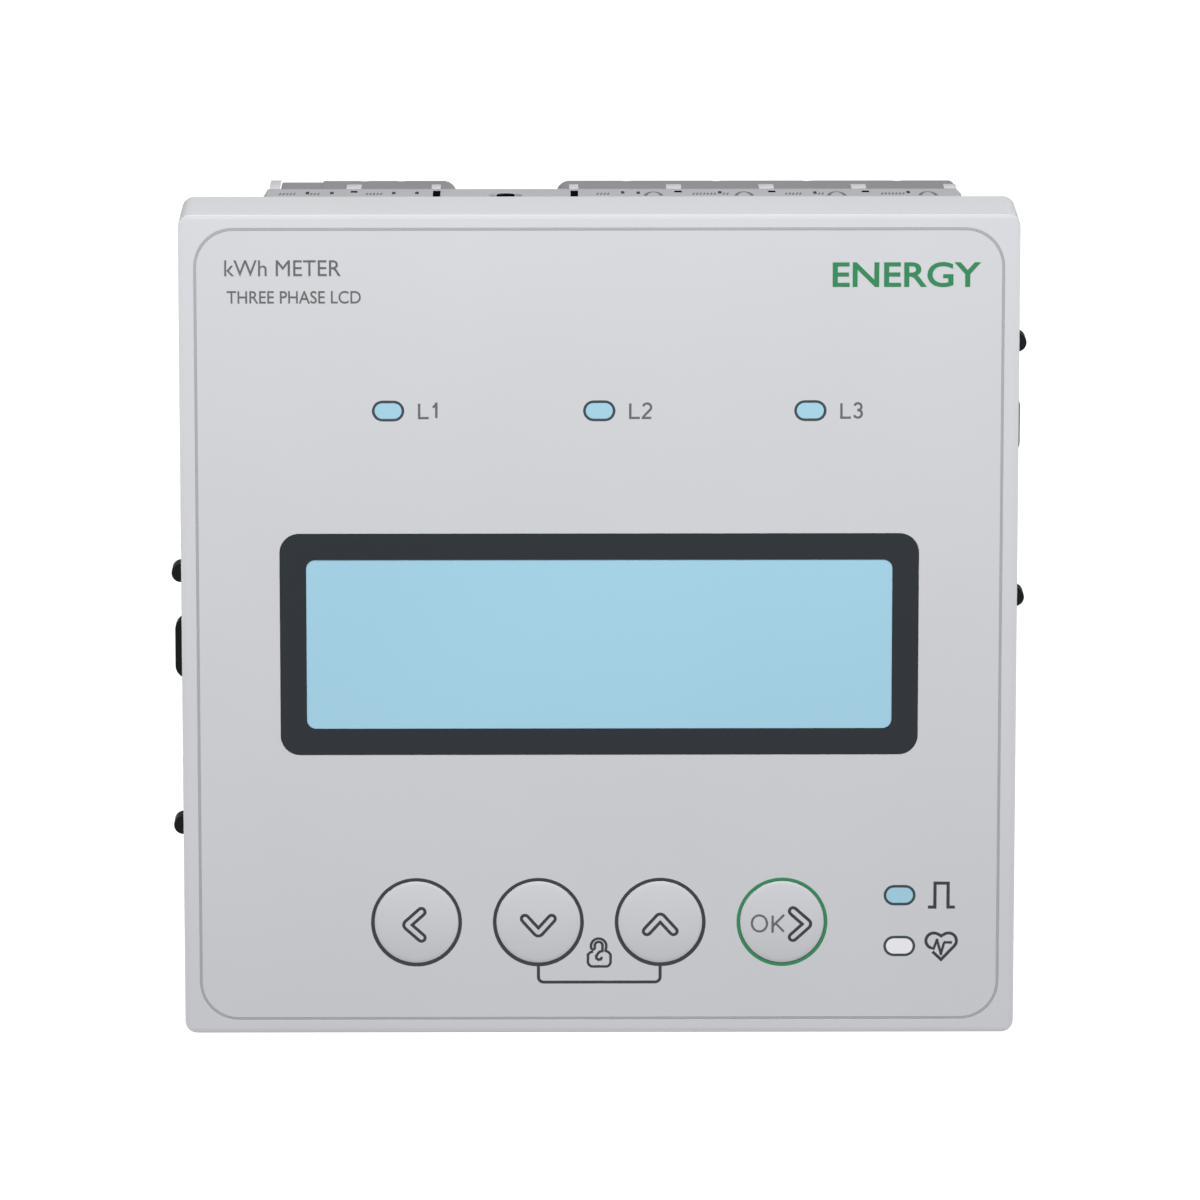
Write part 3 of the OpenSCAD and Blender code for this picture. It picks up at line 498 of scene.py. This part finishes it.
def words(name, text, height, u, v, look, place=on_front, body=ROOT, slot="overlay_film",
          align="LEFT", weight=0.0, squeeze=1.0):
    """Printed words whose capitals are height tall, standing on v."""
    curve = bpy.data.curves.new(name, "FONT")
    curve.body = text
    curve.size = height / CAPITAL_SHARE
    curve.offset = weight
    curve.extrude = INK / 2
    curve.align_x = align
    curve.resolution_u = 6
    obj = bpy.data.objects.new(name, curve)
    mesh = bpy.data.meshes.new_from_object(obj)
    bpy.data.objects.remove(obj)
    bm = bmesh.new()
    bm.from_mesh(mesh)
    bpy.data.meshes.remove(mesh)
    bmesh.ops.remove_doubles(bm, verts=bm.verts, dist=MERGE)
    for vert in bm.verts:
        vert.co = place(u + vert.co.x * squeeze, v + vert.co.y, vert.co.z)
    bmesh.ops.recalc_face_normals(bm, faces=bm.faces)
    return add_piece(name, bm, look, body, slot)


# ---- Front face prints ----

def chevron(cx, cz, turn, arm, spread_deg, r):
    """Outline of a thick rounded chevron pointing left before it is turned, centred."""
    s = math.radians(spread_deg)
    ends = [(arm * math.cos(s), arm * math.sin(s)), (arm * math.cos(s), -arm * math.sin(s))]
    shift = arm * math.cos(s) / 2
    points = arc(*ends[0], r, spread_deg + 90, spread_deg - 90, 8)
    points.append((r / math.sin(s), 0.0))
    points += arc(*ends[1], r, 90 - spread_deg, -90 - spread_deg, 8)
    nose = 0.25 * MM
    points += arc(nose, 0, r + nose * math.sin(s), 270 - spread_deg, 90 + spread_deg, 10)
    t = math.radians(turn)
    return [(cx + (x - shift) * math.cos(t) - z * math.sin(t),
             cz + (x - shift) * math.sin(t) + z * math.cos(t)) for x, z in points]


LINE = 0.37 * MM
RING_R = 5.08 * MM
STEM_R = 1.5 * MM
FLANGE_T = 0.8 * MM
FLANGE_TO_SWITCH = 2.6 * MM
CAP_RIM_R = 0.12 * MM


def key_cap(name, centre):
    """A domed cap with a softened rim on its flange and stem, spun about the key's axis."""
    low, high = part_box(name + "_key")
    dome = FACE_Y - low.y
    flange_r = (high.x - low.x) / 2
    flange_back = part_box("key_switches")[0].y - FLANGE_TO_SWITCH
    profile = [(CAP_R * k / 10, low.y + dome * (k / 10) ** 2) for k in range(10)]
    profile += [(CAP_R - CAP_RIM_R * (1 - math.sin(a)), FACE_Y + CAP_RIM_R * (1 - math.cos(a)))
                for a in (0.3, 0.7, 1.1, math.pi / 2)]
    profile += [(CAP_R, flange_back - FLANGE_T), (flange_r, flange_back - FLANGE_T),
                (flange_r, flange_back), (STEM_R, flange_back), (STEM_R, high.y), (0, high.y)]
    bm = bmesh.new()
    line = [bm.verts.new((centre.x + r, y, centre.z)) for r, y in profile]
    edges = [bm.edges.new(pair) for pair in zip(line, line[1:])]
    bmesh.ops.spin(bm, geom=line + edges, cent=(centre.x, 0, centre.z), axis=(0, 1, 0),
                   angle=2 * math.pi, steps=96, use_merge=True)
    bmesh.ops.remove_doubles(bm, verts=bm.verts, dist=0.001 * MM)
    bmesh.ops.recalc_face_normals(bm, faces=bm.faces)
    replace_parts(add_piece(name + "_key_cap", bm, "key", name + "_key", "key_plastic"),
                name + "_key")


for name, centre in KEYS.items():
    key_cap(name, centre)
    ink(name + "_key_ring", [(ring(centre.x, centre.z, RING_R), LINE, True)],
        "ink_green" if name == "ok" else "ink_dark")

CHEVRON_ARM, CHEVRON_SPREAD, CHEVRON_R = 2.3 * MM, 42, 0.42 * MM
# Each key's arrow: its turn in degrees and its place off the key's centre.
ARROWS = (("left", 0, -0.28, -0.22), ("down", 90, 0.0, -0.37), ("up", -90, 0.0, -0.16),
          ("ok", 180, 2.12, -0.2))
for name, turn, dx, dz in ARROWS:
    centre = KEYS[name]
    outline = chevron(centre.x + dx * MM, centre.z + dz * MM, turn, CHEVRON_ARM, CHEVRON_SPREAD,
                      CHEVRON_R)
    ink(name + "_key_arrow", [(outline, LINE, True)], "ink_dark", on_key(name), name + "_key",
        "key_plastic")


def letter(kind, u, v, h):
    """Plain thin characters drawn as pen strokes, h tall, with their lower left corner given."""
    w = 0.65 * h
    shapes = {
        "O": ([(0.455 * h * (1 + math.cos(a)), 0.5 * h * (1 + math.sin(a)))
               for a in (math.radians(10 * i) for i in range(36))], True),
        "K": ([(0, h), (0, 0), (0, 0.34 * h), (w, h), (0.27 * w, 0.53 * h), (w * 1.04, 0)], False),
        "L": ([(0, h), (0, 0), (w, 0)], False),
        "1": ([(0.12 * w, 0.74 * h), (0.34 * w, 0.83 * h), (0.5 * w, h), (0.5 * w, 0)], False),
        "2": (arc(0.46 * w, 0.73 * h, 0.27 * h, 165, -35, 12)
              + [(0.16 * w, 0.14 * h), (0.02 * w, 0), (0.9 * w, 0)], False),
        "3": (arc(0.42 * w, 0.755 * h, 0.245 * h, 160, -80, 12)
              + arc(0.42 * w, 0.27 * h, 0.27 * h, 80, -160, 12), False),
    }
    path, closed = shapes[kind]
    return [(u + px, v + pz) for px, pz in path], closed


def pen(text, u, v, h, step, width):
    letters = [letter(kind, u + i * step, v, h) for i, kind in enumerate(text)]
    return [(path, width, closed) for path, closed in letters]


ink("ok_key_word", pen("OK", KEYS["ok"].x - 3.49 * MM, KEYS["ok"].z - 1.08 * MM, 1.92 * MM,
                       2.4 * MM, 0.27 * MM), "ink_grey", on_key("ok"), "ok_key", "key_plastic")

LAMP_W, LAMP_H = 3.4 * MM, 2.13 * MM
lamps = [(x, PHASE_Z) for x in PHASE_X] + [(PULSE.x, PULSE.z), (HEARTBEAT.x, HEARTBEAT.z)]
ink("lamp_outlines", [(pill_line(x, z, LAMP_W, LAMP_H), 0.31 * MM, True) for x, z in lamps],
    "ink_lamp")
for i, x in enumerate(PHASE_X):
    ink(f"phase_label_{i + 1}", pen(f"L{i + 1}", x + 3.55 * MM, PHASE_Z - 0.82 * MM, 1.68 * MM,
                                    1.42 * MM, 0.28 * MM), "ink_grey")


def square_wave(cx, cz):
    foot, half, rise = 1.56 * MM, 0.76 * MM, 2.85 * MM
    return [(cx - foot, cz - rise / 2), (cx - half, cz - rise / 2), (cx - half, cz + rise / 2),
            (cx + half, cz + rise / 2), (cx + half, cz - rise / 2), (cx + foot, cz - rise / 2)]


def heart(cx, cz):
    """A heart whose left lobe runs on into a heartbeat line, with a gap before its lower side."""
    lobe, side = 0.92 * MM, 0.85 * MM
    top = cz + 0.62 * MM
    left = arc(cx - side, top, lobe, 60, 250, 16)
    right = arc(cx + side, top, lobe, 120, -42, 16)
    point = (cx, cz - 1.62 * MM)
    beat = [(-0.86, -0.31), (-0.48, 0.72), (-0.02, -0.95), (0.32, 0.33), (0.42, 0.42), (1.25, 0.42)]
    outline = left[::-1] + [(cx, cz + 1.2 * MM)] + right + [point, (cx - 1.0 * MM, cz - 0.68 * MM)]
    return outline, [left[-1]] + [(cx + x * MM, cz + z * MM) for x, z in beat]


MARK_X = 39.6 * MM
ink("pulse_mark", [(square_wave(MARK_X, PULSE.z), 0.38 * MM, False)], "ink_dark")
outline, beat = heart(MARK_X, HEARTBEAT.z)
ink("heartbeat_mark", [(outline, 0.36 * MM, False), (beat, 0.3 * MM, False)], "ink_dark")


def padlock(cx, cz):
    """An open padlock in one line: a wide body, a double shackle, and a hook for the keyhole."""
    def at(*points):
        return [(cx + x * size, cz + z * size) for x, z in points]
    size = 1.06 * MM
    body = at((-0.62, 0.21), (-0.95, 0.1), (-1.18, -0.16), (-1.2, -1.05), (-1.05, -1.33),
              (-0.8, -1.48), (0.9, -1.48), (1.15, -1.33), (1.28, -1.05), (1.28, -0.16),
              (1.1, 0.1), (0.72, 0.3), (0.78, 0.55))
    shackle = arc(cx - 0.02 * size, cz + 0.82 * size, 0.84 * size, 0, 185, 12)
    tip = arc(cx - 0.64 * size, cz + 0.62 * size, 0.2 * size, 190, 340, 5)
    inner = arc(cx - 0.02 * size, cz + 0.86 * size, 0.43 * size, 165, -10, 9)
    hook = at((0.38, 0.25), (0.1, 0.18), (-0.08, 0.0), (-0.28, -0.3), (-0.26, -0.55),
              (-0.05, -0.72), (0.2, -0.66), (0.36, -0.42))
    return [(body + shackle + tip + inner + hook, 0.31 * MM, False)]


LOCK_X, LOCK_Z = -0.05 * MM, -38.57 * MM
ink("lock_mark", padlock(LOCK_X, LOCK_Z), "ink_dark")
LOCK_LINE_Z, LOCK_LINE_R = -42.0 * MM, 0.6 * MM
down, up = KEYS["down"], KEYS["up"]
bracket = ([(down.x, down.z - RING_R)]
           + arc(down.x + LOCK_LINE_R, LOCK_LINE_Z + LOCK_LINE_R, LOCK_LINE_R, 180, 270, 6)
           + arc(up.x - LOCK_LINE_R, LOCK_LINE_Z + LOCK_LINE_R, LOCK_LINE_R, 270, 360, 6)
           + [(up.x, up.z - RING_R)])
ink("lock_bracket", [(bracket, 0.36 * MM, False)], "ink_dark")

TITLE_X = -42.9 * MM
words("title_line", "kWh METER", 1.95 * MM, TITLE_X, 40.95 * MM, "ink_grey", squeeze=0.95)
words("subtitle_line", "THREE PHASE LCD", 1.5 * MM, TITLE_X + 0.4 * MM, 37.8 * MM, "ink_grey",
      weight=0.01 * MM, squeeze=0.9)
words("energy_word", "ENERGY", 2.9 * MM, 43.4 * MM, 39.7 * MM, "ink_green", align="RIGHT",
      weight=0.06 * MM, squeeze=1.15)

# Painted shade in the seam round the overlay sheet: a grey line laid in the gap, a little below the
# face.
OVERLAY_R = 4.2 * MM
SEAM = 0.33 * MM
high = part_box("front_overlay")[1]
half_w, half_h = high.x + SEAM / 2, high.z + SEAM / 2
corner = OVERLAY_R + SEAM / 2
seam = (arc(half_w - corner, half_h - corner, corner, 0, 90, 16)
        + arc(corner - half_w, half_h - corner, corner, 90, 180, 16)
        + arc(corner - half_w, corner - half_h, corner, 180, 270, 16)
        + arc(half_w - corner, corner - half_h, corner, 270, 360, 16))
ink("overlay_seam_shade", [(seam, SEAM * 1.1, True)], "seam_shade_grey",
    lambda u, v, n: on_front(u, v, n - 0.05 * MM))


# ---- Deck: painted shade in its slots and hollow, painted highlights on its tongues, and faint prints along its back edge ----

# Dark blocks fill the short and the long slots: painted shade of the slots' depths.
# Places across the deck and widths of what lies on it, in millimetres.
SHADED_SLOTS = ((-28.9, 0.8), (9.65, 0.9), (20.8, 0.9), (31.95, 0.9))
LONG_SLOTS = (-19.05, -2.7)
ARCHES = (6.7, 17.45, 28.45, 39.3)
# Light pads on the tongues' tops: painted highlights.
TONGUE_HIGHLIGHTS = ((-28.95, 1.8), (-19.15, 1.1), (-2.75, 1.1), (9.15, 1.8), (20.2, 1.8), (31.2, 1.8),
               (42.12, 1.5))
# Dots: place across the deck and distance from its back edge. Marks: place and how many.
DOTS = ((-34.4, 2.2), (-31.5, 2.2), (-24.15, 2.2), (-21.4, 2.2), (3.05, 1.9), (4.9, 2.2),
        (14.6, 1.9), (25.9, 2.2), (37.0, 1.9))
MARKS = ((-37.7, 5), (-34.0, 3), (-27.4, 5), (0.0, 4), (11.4, 7), (15.0, 2), (22.4, 5), (26.3, 2),
         (33.8, 7))
SLOT_SHADE_DEPTH = 0.88 * MM
DOT_W, DOT_LENGTH = 0.42 * MM, 1.7 * MM
MARK_STEP, MARK_LEAN, MARK_LENGTH, MARK_W = 0.42 * MM, 0.14 * MM, 1.4 * MM, 0.22 * MM


def sunk_catch(name, x, width, front, back):
    """A dark block in a slot of the deck, a little below its surface, with a rounded crown: painted
    shade of the slot's depth.
    """
    bm = bmesh.new()
    bmesh.ops.create_cube(bm, size=1)
    for v in bm.verts:
        v.co = (x + v.co.x * width, (front + back) / 2 + v.co.y * (back - front),
                DECK_Z - SLOT_SHADE_DEPTH / 2 - 0.08 * MM + v.co.z * (SLOT_SHADE_DEPTH - 0.1 * MM))
    crown = [e for e in bm.edges if all(v.co.z > DECK_Z - SLOT_SHADE_DEPTH / 2 for v in e.verts)]
    bmesh.ops.bevel(bm, geom=crown, offset=0.06 * MM, segments=2, profile=0.5, affect="EDGES",
                    material=-1)
    add_piece(name, bm, "hollow_shade", slot="retainer_black")


# Painted shade: a dark block in each slot.
for i, (x, width) in enumerate(SHADED_SLOTS):
    sunk_catch(f"deck_slot_shade_{i + 1}", x * MM, (width - 0.04) * MM, BODY_BACK - 2.68 * MM,
               BODY_BACK - 0.62 * MM)
for i, x in enumerate(LONG_SLOTS):
    sunk_catch(f"deck_window_shade_{i + 1}", x * MM, 0.86 * MM, BODY_BACK - 5.98 * MM,
               BODY_BACK - 0.52 * MM)

# A dark cone in the round hollow of the deck: painted shade of the hollow.
dimple_shade = bmesh.new()
bmesh.ops.create_cone(dimple_shade, cap_ends=True, segments=48, radius1=1.3 * MM,
                      radius2=1.05 * MM, depth=0.8 * MM,
                      matrix=Matrix.Translation((-10.85 * MM, BODY_BACK - 4.3 * MM,
                                                 DECK_Z - 0.42 * MM)))
add_piece("deck_dimple_shade", dimple_shade, "hollow_shade", slot="retainer_black")


def arch(x, y):
    """The upper part of a long oval, as beside each voltage terminal."""
    angles = [math.radians(15 + 10 * i) for i in range(16)]
    return [(x + 1.0 * MM * math.cos(a), y + 3.9 * MM * math.sin(a)) for a in angles]


def dot(x, y):
    return [(x, y), (x, y - DOT_LENGTH)], DOT_W, False


def marks(x, y, count):
    """A short row of leaning pen marks."""
    feet = [x + i * MARK_STEP for i in range(count)]
    return [([(foot, y), (foot + MARK_LEAN, y + MARK_LENGTH)], MARK_W, False) for foot in feet]


ink("deck_symbols", [(arch(x * MM, BODY_BACK - 6.2 * MM), 0.42 * MM, False) for x in ARCHES],
    "ink_deck", on_deck, slot="housing_grey")
ink("deck_dots", [dot(x * MM, BODY_BACK - y * MM) for x, y in DOTS], "ink_dark", on_deck,
    slot="housing_grey")
ink("deck_marks", [stroke for x, count in MARKS
                   for stroke in marks(x * MM, BODY_BACK - 4.5 * MM, count)],
    "ink_deck", on_deck, slot="housing_grey")


def light_cap(name, x, width, length):
    """A thin pad of the lighter bezel grey along the top of a tongue, or of the end cheek: a
    painted highlight where the housing grey is lit.
    """
    bm = bmesh.new()
    bmesh.ops.create_cube(bm, size=1)
    for v in bm.verts:
        v.co = (x + v.co.x * width, BODY_BACK + length * (0.5 + v.co.y),
                DECK_Z + (0.05 + v.co.z * 0.08) * MM)
    bmesh.ops.bevel(bm, geom=bm.edges[:], offset=0.02 * MM, segments=2, profile=0.5,
                    affect="EDGES", material=-1)
    add_piece(name, bm, "bezel", slot="housing_grey")


# Painted highlights: a pad of lighter grey on each tongue and on the end cheek.
for i, (x, width) in enumerate(TONGUE_HIGHLIGHTS):
    light_cap(f"tongue_highlight_{i + 1}", x * MM, width * MM, 3.0 * MM)
light_cap("end_cheek_highlight", -38.37 * MM, 1.26 * MM, 6.2 * MM)


# ---- Back: terminal numbers and a blank rating label ----

PLUG_POLES = (("voltage_plug", (37.15, 26.05, 14.95, 3.85)), ("power_plug", (-23.0, -33.0)))
COMM_POLES = (-22.92, -28.0, -33.08)

number = 1
for plug, xs in PLUG_POLES:
    for x in xs:
        words(f"terminal_number_{number}", str(number), 1.5 * MM, -x * MM, DECK_Z - 2.5 * MM,
              "ink_pale", on_back(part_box(plug)[1].y), BODY_OF[plug], SLOT_OF[plug], "CENTER",
              0.02 * MM)
        number += 1
for x in COMM_POLES:
    words(f"terminal_number_{number}", str(number), 1.4 * MM, -x * MM,
          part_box("comm_plug")[1].z + 1.0 * MM, "ink_dark", on_back(BODY_BACK),
          slot="housing_grey", align="CENTER")
    number += 1

LABEL_MARGIN = 1.2 * MM
FRAME_W, RULE_W = 0.22 * MM, 0.16 * MM
ROWS = (0.22, 0.42, 0.62, 0.82)
low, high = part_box("rating_label")
left, right = -high.x + LABEL_MARGIN, -low.x - LABEL_MARGIN
bottom, top = low.z + LABEL_MARGIN, high.z - LABEL_MARGIN
rules = [([(left, bottom), (right, bottom), (right, top), (left, top)], FRAME_W, True)]
for share in ROWS:
    v = low.z + (high.z - low.z) * share
    rules.append(([(left, v), (right, v)], RULE_W, False))
middle_u = (left + right) / 2
rules.append(([(middle_u, bottom), (middle_u, low.z + (high.z - low.z) * ROWS[2])], RULE_W, False))
ink("label_rules", rules, "ink_dark", on_back(high.y), slot="label_white")


# ---- Softened edges on the mouldings that show ----

# How much of each edge is broken, in millimetres.
BROKEN_EDGES = (("rear_housing", 0.15), ("rear_cover", 0.1), ("power_plug", 0.25),
                ("voltage_plug", 0.25), ("comm_plug", 0.15), ("left_retainer", 0.12),
                ("right_retainer", 0.12), ("current_terminal_block", 0.15),
                ("terminal_cover", 0.2), ("current_terminal_screws", 0.15),
                ("rear_cover_screws", 0.12))
softened("front_bezel", 0.12, tight_rim)
for node, width in BROKEN_EDGES:
    softened(node, width)


# ---- Floor, lights and camera ----

FLOOR_HALF = 8
FLOOR_DROP = 0.35

floor_bm = bmesh.new()
bmesh.ops.create_grid(floor_bm, x_segments=1, y_segments=1, size=FLOOR_HALF)
floor_mesh = bpy.data.meshes.new("floor")
floor_bm.to_mesh(floor_mesh)
floor_bm.free()
floor = bpy.data.objects.new("floor", floor_mesh)
floor.location = (0, 0, cad_box[0].z - FLOOR_DROP)
bpy.context.collection.objects.link(floor)
floor_material, _, _, floor_bsdf = shader("pale_floor")
floor_bsdf.inputs["Base Color"].default_value = (0.92, 0.92, 0.93, 1)
floor_bsdf.inputs["Roughness"].default_value = 0.9
floor_bsdf.inputs["Emission Color"].default_value = (1, 1, 1, 1)
floor_bsdf.inputs["Emission Strength"].default_value = 0.86
floor_mesh.materials.append(floor_material)
floor.visible_diffuse = False

# Round soft lights, all aimed at the middle of the part: place and diameter in metres, watts.
LIGHTS = (("key_light", (0, -0.34, 0.38), 0.25, 2.68),
          ("right_fill", (0.8, -0.1, 0.2), 0.6, 0.8),
          ("left_fill", (-0.8, -0.1, 0.2), 0.6, 0.8),
          ("back_light", (0.25, 0.8, 0.05), 0.5, 3.75))


def area_light(name, place, size, power):
    light = bpy.data.lights.new(name, "AREA")
    light.shape = "DISK"
    light.size = size
    light.energy = power
    obj = bpy.data.objects.new(name, light)
    obj.location = place
    obj.rotation_mode = "QUATERNION"
    obj.rotation_quaternion = (-Vector(place)).to_track_quat("-Z", "Y")
    obj.visible_camera = False
    bpy.context.collection.objects.link(obj)
    return obj


lights = {name: area_light(name, *rest) for name, *rest in LIGHTS}
# The low back light would otherwise glare off the deck.
lights["back_light"].visible_glossy = False

world = bpy.data.worlds.new("studio")
world.use_nodes = True
world.node_tree.nodes["Background"].inputs["Color"].default_value = (1, 1, 1, 1)
world.node_tree.nodes["Background"].inputs["Strength"].default_value = 0.3
bpy.context.scene.world = world
bpy.context.scene.view_settings.view_transform = "Standard"

CAMERA_DISTANCE = 1.020
CAMERA_AZIMUTH, CAMERA_ELEVATION = math.radians(-0.35), math.radians(11.8)
LENS = 266.2
SHIFT_X, SHIFT_Y = 0.0006, 0.0228

back = Vector((math.sin(CAMERA_AZIMUTH) * math.cos(CAMERA_ELEVATION),
               -math.cos(CAMERA_AZIMUTH) * math.cos(CAMERA_ELEVATION),
               math.sin(CAMERA_ELEVATION)))
camera_data = bpy.data.cameras.new("camera")
camera_data.sensor_width = 36
camera_data.lens = LENS
camera_data.shift_x = SHIFT_X
camera_data.shift_y = SHIFT_Y
camera_data.clip_start = 0.05
camera = bpy.data.objects.new("camera", camera_data)
camera.location = Vector((0, FACE_Y, 0)) + back * CAMERA_DISTANCE
camera.rotation_mode = "QUATERNION"
camera.rotation_quaternion = (-back).to_track_quat("-Z", "Y")
bpy.context.collection.objects.link(camera)
bpy.context.scene.camera = camera
